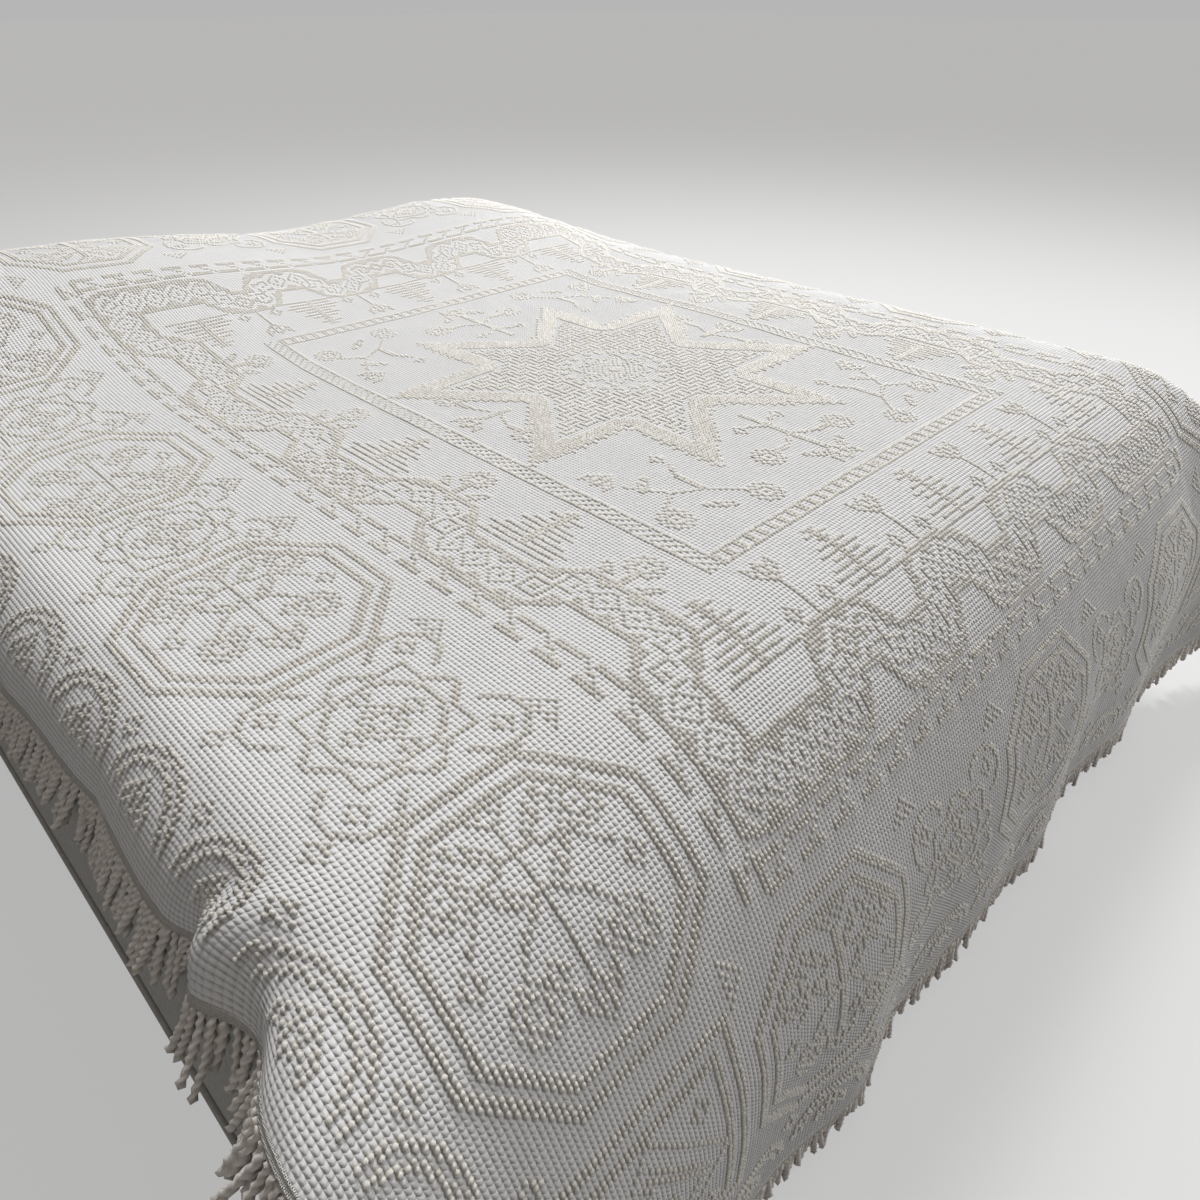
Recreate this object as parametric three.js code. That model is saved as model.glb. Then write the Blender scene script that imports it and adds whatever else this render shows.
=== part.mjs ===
// A candlewick bedspread lying over a plain made bed: the tufted sheet, its bullion fringe, the
// mattress and two pillows it falls over, and the divan base on four feet.
// Millimetres, +Z up. The floor is z = 0, +Y points to the head of the bed, and the near side is -X.
import * as THREE from 'three';

const DEG = Math.PI / 180;

// ---- Driving sizes ---------------------------------------------------------------------------

const MATTRESS = { width: 1800, length: 2000, thick: 300, corner: 70 };
const FEET = { high: 90, top: 34, bottom: 24, inset: 130 };
const BASE = { high: 284, inset: 8, edge: 12 };
const TOUCH = 0.3;                       // gap left between pieces that rest on each other
const SPREAD_CLEAR = 1.9;                // from the mattress's top to the middle of the sheet
const LEVEL = FEET.high + BASE.high + MATTRESS.thick + 2 * TOUCH + SPREAD_CLEAR;

// The sheet: cut size without fringe, where its middle lies on the bed, thickness of the woven
// ground with its pile, and the radius its two foot corners are cut to.
const SHEET = { width: 2112, length: 2628, middle: { x: 151, y: -190 }, thick: 3, corner: 230 };
const HEM = {
  near: SHEET.middle.x - SHEET.width / 2,
  far: SHEET.middle.x + SHEET.width / 2,
  foot: SHEET.middle.y - SHEET.length / 2,
  head: SHEET.middle.y + SHEET.length / 2,
};

// The fringe's cords stand out from the near side, held off by the mattress, and hang elsewhere.
const FRINGE = { long: 63, thick: 6, band: 9, toothShare: 0.62, slope: { near: 50, foot: 88, far: 86 } };

// ---- How the cloth lies ----------------------------------------------------------------------
// Each table gives the slope of the cloth, in degrees below level, at distances along it from the
// line where it starts to turn. Between rows it bends evenly.

const TURN = {
  near: { start: -762, rows: [{ along: 0, slope: 0 }, { along: 143, slope: 75 }] },
  far: {
    start: 785,
    rows: [
      { along: 0, slope: 0 }, { along: 60, slope: 6 }, { along: 150, slope: 80 }, { along: 422, slope: 87 },
    ],
  },
  foot: {
    start: -736,
    rows: [
      { along: 0, slope: 0 }, { along: 60, slope: 12 }, { along: 120, slope: 22 },
      { along: 180, slope: 38 }, { along: 240, slope: 52 }, { along: 300, slope: 61 },
      { along: 420, slope: 69 }, { along: 480, slope: 82 }, { along: 560, slope: 88 },
      { along: 768, slope: 89 },
    ],
  },
  head: { start: 932, rows: [{ along: 0, slope: 0 }, { along: 112, slope: 84 }, { along: 192, slope: 88 }] },
};

// Over a full pillow the cloth climbs from here, crests, and drops behind it.
const CLIMB = {
  start: 171,
  rows: [
    { along: 0, slope: 0 }, { along: 150, slope: -8 }, { along: 300, slope: -16 },
    { along: 400, slope: -26 }, { along: 470, slope: -19 }, { along: 560, slope: -8 },
    { along: 650, slope: 0 }, { along: 750, slope: 12 }, { along: 815, slope: 34 },
    { along: 865, slope: 68 }, { along: 905, slope: 84 }, { along: 953, slope: 88 },
  ],
};

// How much of that climb the cloth makes across the bed: two pillows and the dip between them.
const PILLOW_SHARE = [
  { x: -1000, share: 0.22 }, { x: -900, share: 0.42 }, { x: -760, share: 0.82 },
  { x: -600, share: 1 }, { x: -430, share: 1.04 }, { x: -225, share: 0.93 },
  { x: -60, share: 0.76 }, { x: 60, share: 0.63 }, { x: 200, share: 0.6 },
  { x: 400, share: 0.67 }, { x: 530, share: 0.71 }, { x: 660, share: 0.64 },
  { x: 760, share: 0.42 }, { x: 850, share: 0.17 }, { x: 930, share: 0 }, { x: 1300, share: 0 },
];

// Soft ridges (rise over 0) and troughs in the cloth, each fading in from its first end to its
// second, given on the flat sheet: the foot's hanging folds, the near hem's scallops and its one
// pinched pocket, the far side's folds, and slow swells on top.
const FOLDS = [
  { x1: -330, y1: -960, x2: -310, y2: -1504, wide: 70, rise: 16 },
  { x1: -130, y1: -1000, x2: -150, y2: -1504, wide: 80, rise: -9 },
  { x1: -480, y1: -1050, x2: -470, y2: -1504, wide: 60, rise: -7 },
  { x1: 40, y1: -1000, x2: 60, y2: -1504, wide: 70, rise: 6 },
  { x1: 230, y1: -980, x2: 250, y2: -1504, wide: 80, rise: 14 },
  { x1: 430, y1: -1000, x2: 420, y2: -1504, wide: 75, rise: -12 },
  { x1: 620, y1: -960, x2: 640, y2: -1504, wide: 80, rise: 15 },
  { x1: -720, y1: -980, x2: -760, y2: -1504, wide: 70, rise: 9 },
  { x1: -790, y1: -738, x2: -905, y2: -708, wide: 26, rise: -12 },
  { x1: -780, y1: -788, x2: -905, y2: -770, wide: 28, rise: 10 },
  { x1: -790, y1: -798, x2: -905, y2: -824, wide: 26, rise: -17 },
  { x1: -800, y1: -630, x2: -905, y2: -625, wide: 42, rise: 3 },
  { x1: -800, y1: -925, x2: -905, y2: -935, wide: 48, rise: 9 },
  { x1: -790, y1: -500, x2: -905, y2: -490, wide: 45, rise: -8 },
  { x1: -800, y1: -250, x2: -905, y2: -240, wide: 60, rise: 8 },
  { x1: -800, y1: -60, x2: -905, y2: -40, wide: 50, rise: -7 },
  { x1: -800, y1: 180, x2: -905, y2: 200, wide: 70, rise: 8 },
  { x1: 930, y1: -420, x2: 1207, y2: -450, wide: 80, rise: 13 },
  { x1: 930, y1: -180, x2: 1207, y2: -170, wide: 85, rise: -11 },
  { x1: 930, y1: 80, x2: 1207, y2: 60, wide: 90, rise: 14 },
  { x1: 930, y1: 380, x2: 1207, y2: 400, wide: 90, rise: -10 },
  { x1: 930, y1: 680, x2: 1207, y2: 660, wide: 90, rise: 13 },
  { x1: -200, y1: -300, x2: 420, y2: -80, wide: 210, rise: 5 },
  { x1: -600, y1: 60, x2: -300, y2: 380, wide: 150, rise: 4 },
  { x1: 380, y1: 120, x2: 720, y2: -420, wide: 160, rise: 3 },
];
// Where the near hem is pinched into its pocket, the cloth is also pushed towards the head.
const PINCH = { x: -862, y: -775, wideX: 58, wideY: 68, push: 38 };

// Grid lines of the sheet, closer where it bends.
const LINES_ACROSS = [
  { from: HEM.near, to: -762, steps: 6 }, { from: -762, to: -620, steps: 2 },
  { from: -620, to: 845, steps: 17 }, { from: 845, to: 935, steps: 5 }, { from: 935, to: HEM.far, steps: 4 },
];
const LINES_ALONG = [
  { from: HEM.foot, to: -1100, steps: 6 }, { from: -1100, to: -880, steps: 5 },
  { from: -880, to: -640, steps: 9 }, { from: -640, to: 171, steps: 9 },
  { from: 171, to: 900, steps: 12 }, { from: 900, to: HEM.head, steps: 6 },
];

const clamp = (value, low, high) => Math.min(Math.max(value, low), high);
const ease = (share) => share * share * (3 - 2 * share);
const blend = (a, b, share) => a + (b - a) * share;

// Walks along a slope table and gives how far out and how far down the cloth has gone.
function follow(rows, along) {
  let out = 0;
  let down = 0;
  for (let i = 1; i < rows.length; i++) {
    const before = rows[i - 1];
    const run = Math.min(along, rows[i].along) - before.along;
    if (run <= 0) break;
    const turn = ((rows[i].slope - before.slope) * DEG) / (rows[i].along - before.along);
    const first = before.slope * DEG;
    const last = first + turn * run;
    out += (Math.sin(last) - Math.sin(first)) / turn;
    down += (Math.cos(first) - Math.cos(last)) / turn;
  }
  const end = rows[rows.length - 1];
  const rest = Math.max(along - end.along, 0);
  return { out: out + rest * Math.cos(end.slope * DEG), down: down + rest * Math.sin(end.slope * DEG) };
}

// A smooth curve through a table's rows.
function smoothRow(rows, key, name, at) {
  const place = clamp(at, rows[0][key], rows[rows.length - 1][key]);
  const last = rows.length - 1;
  let i = 0;
  while (i < last - 1 && place > rows[i + 1][key]) i++;
  const slopeAt = (k) => {
    const a = rows[Math.max(k - 1, 0)];
    const b = rows[Math.min(k + 1, last)];
    return (b[name] - a[name]) / (b[key] - a[key]);
  };
  const span = rows[i + 1][key] - rows[i][key];
  const t = (place - rows[i][key]) / span;
  const start = rows[i][name] * (1 + 2 * t) * (1 - t) ** 2 + slopeAt(i) * span * t * (1 - t) ** 2;
  return start + rows[i + 1][name] * t * t * (3 - 2 * t) + slopeAt(i + 1) * span * t * t * (t - 1);
}

// The sheet over the bare bed. Past one edge it follows that edge's slope table. Past two edges
// the hanging planes of both are carried on round the corner and shared out by angle, which
// leaves the soft standing fold that a cloth makes there.
function overBed(x, y) {
  const side = x < 0 ? TURN.near : TURN.far;
  const outward = x < 0 ? -1 : 1;
  const end = y < 0 ? TURN.foot : TURN.head;
  const endward = y < 0 ? -1 : 1;
  const pastSide = Math.max((x - side.start) * outward, 0);
  const pastEnd = Math.max((y - end.start) * endward, 0);
  const sideHang = follow(side.rows, pastSide);
  const endHang = follow(end.rows, pastEnd);
  const alongSide = [pastSide > 0 ? side.start + outward * sideHang.out : x, y, -sideHang.down];
  const alongEnd = [x, pastEnd > 0 ? end.start + endward * endHang.out : y, -endHang.down];
  if (pastSide === 0) return alongEnd;
  if (pastEnd === 0) return alongSide;
  const share = ease(Math.atan2(pastEnd, pastSide) / (Math.PI / 2));
  return alongSide.map((value, k) => blend(value, alongEnd[k], share));
}

// The same with the pillows' humps added.
function overPillows(x, y) {
  const place = overBed(x, y);
  if (y > CLIMB.start) {
    const humped = follow(CLIMB.rows, y - CLIMB.start);
    const plain = follow(TURN.head.rows, Math.max(y - TURN.head.start, 0));
    const plainY = Math.min(y, TURN.head.start) + plain.out;
    const share = smoothRow(PILLOW_SHARE, 'x', 'share', x);
    place[1] += share * (CLIMB.start + humped.out - plainY);
    place[2] += share * (plain.down - humped.down);
  }
  return place;
}

// Height of the folds over the plain lie of the cloth.
function foldHeight(x, y) {
  let height = 0;
  for (const fold of FOLDS) {
    const runX = fold.x2 - fold.x1;
    const runY = fold.y2 - fold.y1;
    const length2 = runX * runX + runY * runY;
    const share = ((x - fold.x1) * runX + (y - fold.y1) * runY) / length2;
    const near = clamp(share, 0, 1.1);
    const away = Math.hypot(x - fold.x1 - near * runX, y - fold.y1 - near * runY) / fold.wide;
    height += fold.rise * ease(clamp(share, 0, 1)) * Math.exp(-away * away);
  }
  return height;
}

function plainLie(x, y) {
  const reach = ((x - PINCH.x) / PINCH.wideX) ** 2 + ((y - PINCH.y) / PINCH.wideY) ** 2;
  const place = overPillows(x, y);
  place[1] += PINCH.push * Math.exp(-reach);
  return new THREE.Vector3(place[0], place[1], place[2] + LEVEL);
}

// The place of a point of the flat sheet, with the cloth's outward normal and its two directions.
function lie(x, y) {
  const step = 2;
  const across = plainLie(x + step, y).sub(plainLie(x - step, y)).normalize();
  const along = plainLie(x, y + step).sub(plainLie(x, y - step)).normalize();
  const normal = new THREE.Vector3().crossVectors(across, along).normalize();
  return { place: plainLie(x, y).addScaledVector(normal, foldHeight(x, y)), normal, across, along };
}

// A grid point of the sheet, moved so that the two foot corners are cut round.
function cutPoint(x, y) {
  const r = SHEET.corner;
  const side = x < SHEET.middle.x ? HEM.near + r : HEM.far - r;
  const outward = x < SHEET.middle.x ? -1 : 1;
  const a = ((x - side) * outward) / r;
  const b = (HEM.foot + r - y) / r;
  if (a <= 0 || b <= 0) return [x, y];
  const roundX = a * Math.sqrt(1 - (b * b) / 2);
  const roundY = b * Math.sqrt(1 - (a * a) / 2);
  return [side + outward * r * roundX, HEM.foot + r - r * roundY];
}

function gridLines(zones) {
  const lines = [zones[0].from];
  for (const zone of zones) {
    for (let k = 1; k <= zone.steps; k++) lines.push(blend(zone.from, zone.to, k / zone.steps));
  }
  return lines;
}

// ---- Meshes ----------------------------------------------------------------------------------

function closedMesh(points, faces) {
  const geometry = new THREE.BufferGeometry();
  const flat = points.flatMap((p) => [p.x, p.y, p.z]);
  geometry.setAttribute('position', new THREE.Float32BufferAttribute(flat, 3));
  geometry.setIndex(faces);
  geometry.computeVertexNormals();
  return geometry;
}

// The bedspread: one closed sheet, its upper and under faces joined round the hem.
function bedspreadGeometry() {
  const xs = gridLines(LINES_ACROSS);
  const ys = gridLines(LINES_ALONG);
  const points = [];
  for (const side of [1, -1]) {
    for (const y of ys) {
      for (const x of xs) {
        const spot = lie(...cutPoint(x, y));
        points.push(spot.place.addScaledVector(spot.normal, (side * SHEET.thick) / 2));
      }
    }
  }
  const wide = xs.length;
  const under = xs.length * ys.length;
  const faces = [];
  const quad = (a, b, c, d) => faces.push(a, b, c, a, c, d);
  for (let j = 0; j < ys.length - 1; j++) {
    for (let i = 0; i < wide - 1; i++) {
      const a = j * wide + i;
      quad(a, a + 1, a + 1 + wide, a + wide);
      quad(a + under, a + wide + under, a + 1 + wide + under, a + 1 + under);
    }
  }
  const top = (ys.length - 1) * wide;
  for (let i = 0; i < wide - 1; i++) {
    quad(i, i + under, i + 1 + under, i + 1);
    quad(top + i + 1, top + i + 1 + under, top + i + under, top + i);
  }
  for (let j = 0; j < ys.length - 1; j++) {
    const a = j * wide;
    quad(a + wide, a + wide + under, a + under, a);
    const b = a + wide - 1;
    quad(b, b + under, b + wide + under, b + wide);
  }
  return closedMesh(points, faces);
}

// The hem that carries the fringe, from the head end down the near side, round the foot and up
// the far side, with the direction in which the cloth runs out at each grid point.
function fringedHem() {
  const xs = gridLines(LINES_ACROSS);
  const ys = gridLines(LINES_ALONG);
  const near = ys.slice(1).reverse().map((y) => [HEM.near, y]);
  const foot = xs.map((x) => [x, HEM.foot]);
  const far = ys.slice(1).map((y) => [HEM.far, y]);
  return [...near, ...foot, ...far].map(([x, y]) => {
    const [cutX, cutY] = cutPoint(x, y);
    const spot = lie(cutX, cutY);
    const centreX = clamp(cutX, HEM.near + SHEET.corner, HEM.far - SHEET.corner);
    const centreY = Math.max(cutY, HEM.foot + SHEET.corner);
    const away = new THREE.Vector2(cutX - centreX, cutY - centreY).normalize();
    const out = spot.across.clone().multiplyScalar(away.x).addScaledVector(spot.along, away.y).normalize();
    const sideSlope = away.x < 0 ? FRINGE.slope.near : FRINGE.slope.far;
    const slope = blend(sideSlope, FRINGE.slope.foot, away.y * away.y) * DEG;
    const down = new THREE.Vector3(away.x * Math.cos(slope), away.y * Math.cos(slope), -Math.sin(slope));
    return { ...spot, out, down };
  });
}

// The bullion fringe as one comb: a narrow band along the hem with a tooth in every grid step.
function fringeGeometry() {
  const hem = fringedHem();
  const at = (k, share) => {
    const [a, b] = [hem[k], hem[Math.min(k + 1, hem.length - 1)]];
    const mix = (name) => a[name].clone().lerp(b[name], share);
    return { place: mix('place'), out: mix('out'), down: mix('down'), normal: mix('normal') };
  };
  const gapEnd = (1 - FRINGE.toothShare) / 2;
  const points = [];
  const faces = [];
  const quad = (a, b, c, d) => faces.push(a, b, c, a, c, d);
  const addRow = (spot, reach) => {
    const start = spot.place.clone().addScaledVector(spot.out, TOUCH);
    const band = start.clone().addScaledVector(spot.out, FRINGE.band);
    const rows = [start, band];
    if (reach) rows.push(band.clone().addScaledVector(spot.down, FRINGE.long - FRINGE.band));
    const first = points.length;
    for (const row of rows) {
      points.push(row.clone().addScaledVector(spot.normal, FRINGE.thick / 2));
      points.push(row.clone().addScaledVector(spot.normal, -FRINGE.thick / 2));
    }
    return first;
  };
  const strip = (a, b, from, to) => {
    quad(a + from, a + to, b + to, b + from);
    quad(a + from + 1, b + from + 1, b + to + 1, a + to + 1);
  };
  let before = addRow(at(0, 0), false);
  quad(before, before + 1, before + 3, before + 2);
  for (let k = 0; k < hem.length - 1; k++) {
    const left = addRow(at(k, gapEnd), true);
    const right = addRow(at(k, 1 - gapEnd), true);
    const next = addRow(at(k + 1, 0), false);
    for (const [a, b, toothed] of [[before, left, false], [left, right, true], [right, next, false]]) {
      strip(a, b, 0, 2);
      quad(a, b, b + 1, a + 1);
      if (toothed) {
        strip(a, b, 2, 4);
        quad(a + 4, a + 5, b + 5, b + 4);
      } else {
        quad(a + 2, a + 3, b + 3, b + 2);
      }
    }
    quad(left + 2, left + 3, left + 5, left + 4);
    quad(right + 2, right + 4, right + 5, right + 3);
    before = next;
  }
  quad(before, before + 2, before + 3, before + 1);
  return closedMesh(points, faces);
}

// Rounded rectangles stacked and skinned: each row gives its height and how far it is set in on
// each side, so a soft edge can be rounder on one side than on another.
function stackedGeometry(width, length, corner, rows) {
  const cornerSteps = 5;
  const points = [];
  for (const row of rows) {
    const sides = [
      { x: width / 2 - row.far, y: length / 2 - row.head, turn: 0 },
      { x: -width / 2 + row.near, y: length / 2 - row.head, turn: 90 },
      { x: -width / 2 + row.near, y: -length / 2 + row.foot, turn: 180 },
      { x: width / 2 - row.far, y: -length / 2 + row.foot, turn: 270 },
    ];
    for (const side of sides) {
      for (let k = 0; k <= cornerSteps; k++) {
        const angle = (side.turn + (90 * k) / cornerSteps) * DEG;
        const x = side.x - Math.sign(side.x) * corner + corner * Math.cos(angle);
        const y = side.y - Math.sign(side.y) * corner + corner * Math.sin(angle);
        points.push(new THREE.Vector3(x, y, row.z));
      }
    }
  }
  const ring = 4 * (cornerSteps + 1);
  const faces = [];
  for (let r = 0; r < rows.length - 1; r++) {
    for (let k = 0; k < ring; k++) {
      const a = r * ring + k;
      const b = r * ring + ((k + 1) % ring);
      faces.push(a, b, b + ring, a, b + ring, a + ring);
    }
  }
  const top = (rows.length - 1) * ring;
  for (let k = 1; k < ring - 1; k++) {
    faces.push(0, k + 1, k);
    faces.push(top, top + k, top + k + 1);
  }
  return closedMesh(points, faces);
}

// The mattress: a plain filled pad. Its soft upper edge is set in by these amounts at depths
// below its top, and most of all at the foot, where the cloth slopes away early.
const MATTRESS_EDGE = [
  { depth: 300, near: 14, far: 14, foot: 14, head: 14 },
  { depth: 285, near: 3, far: 3, foot: 3, head: 3 },
  { depth: 240, near: 0, far: 0, foot: 0, head: 0 },
  { depth: 150, near: 20, far: 0, foot: 40, head: 0 },
  { depth: 105, near: 40, far: 4, foot: 73, head: 4 },
  { depth: 70, near: 60, far: 11, foot: 103, head: 10 },
  { depth: 42, near: 80, far: 25, foot: 134, head: 23 },
  { depth: 20, near: 104, far: 46, foot: 176, head: 42 },
  { depth: 7, near: 128, far: 72, foot: 228, head: 63 },
  { depth: 0, near: 160, far: 128, foot: 292, head: 90 },
];
function mattressGeometry() {
  const top = LEVEL - SPREAD_CLEAR;
  const rows = MATTRESS_EDGE.map((row) => ({ ...row, z: top - row.depth }));
  return stackedGeometry(MATTRESS.width, MATTRESS.length, MATTRESS.corner, rows);
}

// A pillow: a filled bag, fullest in the middle and drawn thin towards its four edges.
const PILLOWS = [
  { name: 'pillow_near', x: -430, y: 752, wide: 760, deep: 445, high: 90 },
  { name: 'pillow_far', x: 400, y: 745, wide: 780, deep: 455, high: 50 },
];
const PILLOW_UNDER = 0.12;       // how far its under side bellies, as a share of its height
function pillowGeometry(pillow) {
  const squareness = 0.62;
  const geometry = new THREE.SphereGeometry(1, 28, 12).rotateX(Math.PI / 2);
  const position = geometry.getAttribute('position');
  const shape = (value, power) => Math.sign(value) * Math.abs(value) ** power;
  for (let k = 0; k < position.count; k++) {
    const [x, y, z] = [position.getX(k), position.getY(k), position.getZ(k)];
    const flatness = z < 0 ? PILLOW_UNDER : 1;
    const reach = Math.hypot(x, y) || 1;
    const across = (shape(x / reach, squareness) * reach ** 0.7 * pillow.wide) / 2;
    const along = (shape(y / reach, squareness) * reach ** 0.7 * pillow.deep) / 2;
    position.setXYZ(k, across, along, shape(z, 0.9) * pillow.high * flatness);
  }
  geometry.computeVertexNormals();
  return geometry;
}

function footGeometry() {
  const profile = [
    new THREE.Vector2(0, 0),
    new THREE.Vector2(FEET.bottom, 0),
    new THREE.Vector2(FEET.top, FEET.high),
    new THREE.Vector2(0, FEET.high),
  ];
  return new THREE.LatheGeometry(profile, 20).rotateX(Math.PI / 2);
}

function baseGeometry() {
  const bottom = FEET.high + TOUCH;
  const row = (z, inset) => ({ z, near: inset, far: inset, foot: inset, head: inset });
  const rows = [
    row(bottom, BASE.inset + BASE.edge),
    row(bottom + BASE.edge, BASE.inset),
    row(bottom + BASE.high - BASE.edge, BASE.inset),
    row(bottom + BASE.high, BASE.inset + BASE.edge),
  ];
  return stackedGeometry(MATTRESS.width, MATTRESS.length, MATTRESS.corner, rows);
}

// ---- The made bed ----------------------------------------------------------------------------

const candlewick = () => new THREE.MeshStandardMaterial({ color: 0xe2ded6, roughness: 0.95 });
const bullion = () => new THREE.MeshStandardMaterial({ color: 0xd2c9bc, roughness: 0.95 });
const ticking = () => new THREE.MeshStandardMaterial({ color: 0xe4e2dc, roughness: 0.9 });
const pillowcase = () => new THREE.MeshStandardMaterial({ color: 0xeeece8, roughness: 0.9 });
const upholstery = () => new THREE.MeshStandardMaterial({ color: 0xa9a297, roughness: 0.9 });
const wood = () => new THREE.MeshStandardMaterial({ color: 0x6d4a30, roughness: 0.5 });

const bed = new THREE.Group();

function add(name, geometry, material, x = 0, y = 0, z = 0) {
  const mesh = new THREE.Mesh(geometry, material);
  mesh.name = name;
  mesh.position.set(x, y, z);
  bed.add(mesh);
}

add('bedspread', bedspreadGeometry(), candlewick());
add('fringe', fringeGeometry(), bullion());
add('mattress', mattressGeometry(), ticking());
for (const pillow of PILLOWS) {
  const lift = LEVEL - SPREAD_CLEAR + TOUCH + PILLOW_UNDER * pillow.high;
  add(pillow.name, pillowGeometry(pillow), pillowcase(), pillow.x, pillow.y, lift);
}
add('bed_base', baseGeometry(), upholstery());
let footNumber = 1;
for (const sideways of [-1, 1]) {
  for (const lengthways of [-1, 1]) {
    const x = sideways * (MATTRESS.width / 2 - FEET.inset);
    const y = lengthways * (MATTRESS.length / 2 - FEET.inset);
    add(`foot_${footNumber}`, footGeometry(), wood(), x, y, 0);
    footNumber += 1;
  }
}

// The origin is under the middle of the whole, on the floor.
const whole = new THREE.Box3().setFromObject(bed);
bed.position.set(-(whole.min.x + whole.max.x) / 2, -(whole.min.y + whole.max.y) / 2, 0);

export default bed;
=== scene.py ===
"""A candlewick bedspread lying over a plain made bed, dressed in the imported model's frame."""
import math

import bmesh
import bpy
import numpy as np
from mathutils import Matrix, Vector


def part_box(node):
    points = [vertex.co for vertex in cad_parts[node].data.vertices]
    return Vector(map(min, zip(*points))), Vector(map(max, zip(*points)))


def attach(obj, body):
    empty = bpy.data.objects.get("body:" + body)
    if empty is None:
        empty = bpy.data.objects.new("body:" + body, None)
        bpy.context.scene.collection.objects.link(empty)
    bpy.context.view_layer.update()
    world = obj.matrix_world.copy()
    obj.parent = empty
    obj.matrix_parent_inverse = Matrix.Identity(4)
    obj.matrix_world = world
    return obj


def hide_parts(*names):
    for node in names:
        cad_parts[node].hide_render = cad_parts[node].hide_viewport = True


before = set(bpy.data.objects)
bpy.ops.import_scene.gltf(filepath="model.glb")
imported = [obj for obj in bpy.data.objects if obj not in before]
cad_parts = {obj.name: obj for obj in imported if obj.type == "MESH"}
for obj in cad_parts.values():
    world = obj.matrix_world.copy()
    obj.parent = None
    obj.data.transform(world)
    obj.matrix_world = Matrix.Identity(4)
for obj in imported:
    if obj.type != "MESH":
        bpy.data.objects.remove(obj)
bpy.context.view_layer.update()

# ---- Feet ------------------------------------------------------------------------------------
# Four short turned feet of stained hardwood, screwed up into the corners of the base.
# The nodes are right as they are, and get wood with its grain running up the foot.

FOOT_DARK = (0.105, 0.052, 0.026, 1)
FOOT_LIGHT = (0.215, 0.118, 0.062, 1)


def plain_material(name):
    """An empty Principled material, with its node tree and its shader."""
    material = bpy.data.materials.new(name)
    material.use_nodes = True
    return material, material.node_tree, material.node_tree.nodes["Principled BSDF"]


def add_node(tree, kind, **settings):
    node = tree.nodes.new(kind)
    for key, value in settings.items():
        if key in node.inputs:
            node.inputs[key].default_value = value
        else:
            setattr(node, key, value)
    return node


def ramp(tree, source, low, low_colour, high, high_colour):
    """A colour ramp between two places, fed by a socket; gives its colour socket."""
    node = tree.nodes.new("ShaderNodeValToRGB")
    node.color_ramp.elements[0].position = low
    node.color_ramp.elements[0].color = low_colour
    node.color_ramp.elements[1].position = high
    node.color_ramp.elements[1].color = high_colour
    tree.links.new(source, node.inputs["Fac"])
    return node.outputs["Color"]


def bump(tree, shader, height, distance, strength=1.0):
    node = add_node(tree, "ShaderNodeBump", Distance=distance, Strength=strength)
    tree.links.new(height, node.inputs["Height"])
    tree.links.new(node.outputs["Normal"], shader.inputs["Normal"])


def turned_wood():
    material, tree, shader = plain_material("turned_wood")
    place = tree.nodes.new("ShaderNodeTexCoord")
    stretch = add_node(tree, "ShaderNodeMapping")
    stretch.inputs["Scale"].default_value = (70, 70, 6)
    grain = add_node(tree, "ShaderNodeTexNoise", Scale=1.0, Detail=8.0, Roughness=0.6, Distortion=0.6)
    tree.links.new(place.outputs["Object"], stretch.inputs["Vector"])
    tree.links.new(stretch.outputs["Vector"], grain.inputs["Vector"])
    colour = ramp(tree, grain.outputs["Fac"], 0.35, FOOT_DARK, 0.68, FOOT_LIGHT)
    tree.links.new(colour, shader.inputs["Base Color"])
    shader.inputs["Roughness"].default_value = 0.42
    shader.inputs["Coat Weight"].default_value = 0.25
    shader.inputs["Coat Roughness"].default_value = 0.3
    bump(tree, shader, grain.outputs["Fac"], 0.0004)
    return material


wood = turned_wood()
for number in range(1, 5):
    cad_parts[f"foot_{number}"].data.materials.clear()
    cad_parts[f"foot_{number}"].data.materials.append(wood)

# ---- Base ------------------------------------------------------------------------------------
# A divan base: a timber box covered in a greige linen-look cloth, stapled underneath, with a cord
# sewn into the seams along its top and bottom edges. The node is right as it is, and gets its weave.

BASE_DARK = (0.47, 0.435, 0.385, 1)
BASE_LIGHT = (0.64, 0.605, 0.55, 1)
BASE_THREADS = 900


def plain_weave_group():
    """Plain weave on object coordinates, projected from three sides: a Height and a Fleck mask."""
    group = bpy.data.node_groups.new("plain_weave", "ShaderNodeTree")
    group.interface.new_socket("Threads", in_out="INPUT", socket_type="NodeSocketFloat")
    group.interface.new_socket("Height", in_out="OUTPUT", socket_type="NodeSocketFloat")
    group.interface.new_socket("Fleck", in_out="OUTPUT", socket_type="NodeSocketFloat")
    given = group.nodes.new("NodeGroupInput")
    result = group.nodes.new("NodeGroupOutput")
    place = group.nodes.new("ShaderNodeTexCoord")
    scaled = add_node(group, "ShaderNodeVectorMath", operation="SCALE")
    waves = add_node(group, "ShaderNodeVectorMath", operation="SINE")
    parts = group.nodes.new("ShaderNodeSeparateXYZ")
    first = add_node(group, "ShaderNodeMath", operation="MULTIPLY")
    second = add_node(group, "ShaderNodeMath", operation="ADD")
    fleck = add_node(group, "ShaderNodeTexNoise", Scale=160.0, Detail=5.0, Roughness=0.7)
    link = group.links.new
    link(place.outputs["Object"], scaled.inputs[0])
    link(given.outputs["Threads"], scaled.inputs["Scale"])
    link(scaled.outputs["Vector"], waves.inputs[0])
    link(waves.outputs["Vector"], parts.inputs["Vector"])
    link(parts.outputs["X"], first.inputs[0])
    link(parts.outputs["Z"], first.inputs[1])
    link(first.outputs["Value"], second.inputs[0])
    link(parts.outputs["Y"], second.inputs[1])
    link(second.outputs["Value"], result.inputs["Height"])
    link(place.outputs["Object"], fleck.inputs["Vector"])
    link(fleck.outputs["Fac"], result.inputs["Fleck"])
    return group


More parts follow.
